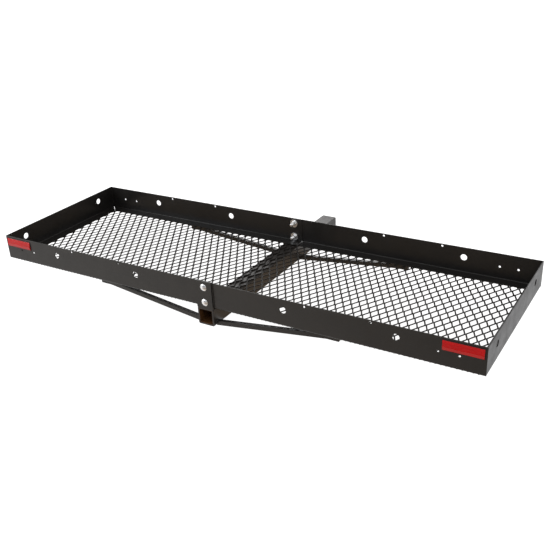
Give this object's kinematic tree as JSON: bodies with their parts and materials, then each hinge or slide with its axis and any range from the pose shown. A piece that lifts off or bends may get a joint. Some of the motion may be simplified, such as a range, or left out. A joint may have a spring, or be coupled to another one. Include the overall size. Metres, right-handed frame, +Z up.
{
  "type": "hitch cargo carrier",
  "caption": "Steel tray cargo carrier for a square receiver hitch: low sheet walls, expanded-metal floor, centre-bolted halves, braced square shank and rear reflectors.",
  "frame": {"origin": "centre of the hitch pin hole, on the axis of the square shank", "axes": "+X along the long side of the deck, +Y from the reflector side toward the vehicle along the shank, +Z up"},
  "size_m": [1.524, 0.7419, 0.132],
  "materials": {
    "black_coat": "satin powder coat",
    "zinc": "bright zinc plate",
    "red_lens": "moulded prismatic lens",
    "dark_plastic": "moulded back"
  },
  "bodies": {
    "root": {"left_near_rail": "black_coat", "left_far_rail": "black_coat", "left_end_rail": "black_coat", "right_near_rail": "black_coat", "right_far_rail": "black_coat", "right_end_rail": "black_coat", "left_mesh_floor": "black_coat", "right_mesh_floor": "black_coat", "left_near_brace": "black_coat", "right_near_brace": "black_coat", "left_far_brace": "black_coat", "right_far_brace": "black_coat", "hitch_tube": "black_coat", "near_upright_plate": "black_coat", "near_carriage_bolts": "zinc", "far_carriage_bolts": "zinc", "near_washers": "zinc", "far_washers": "zinc", "near_nuts": "zinc", "far_nuts": "zinc", "left_reflector_lens": "red_lens", "right_reflector_lens": "red_lens", "left_reflector_base": "dark_plastic", "right_reflector_base": "dark_plastic"}
  },
  "joints": []
}
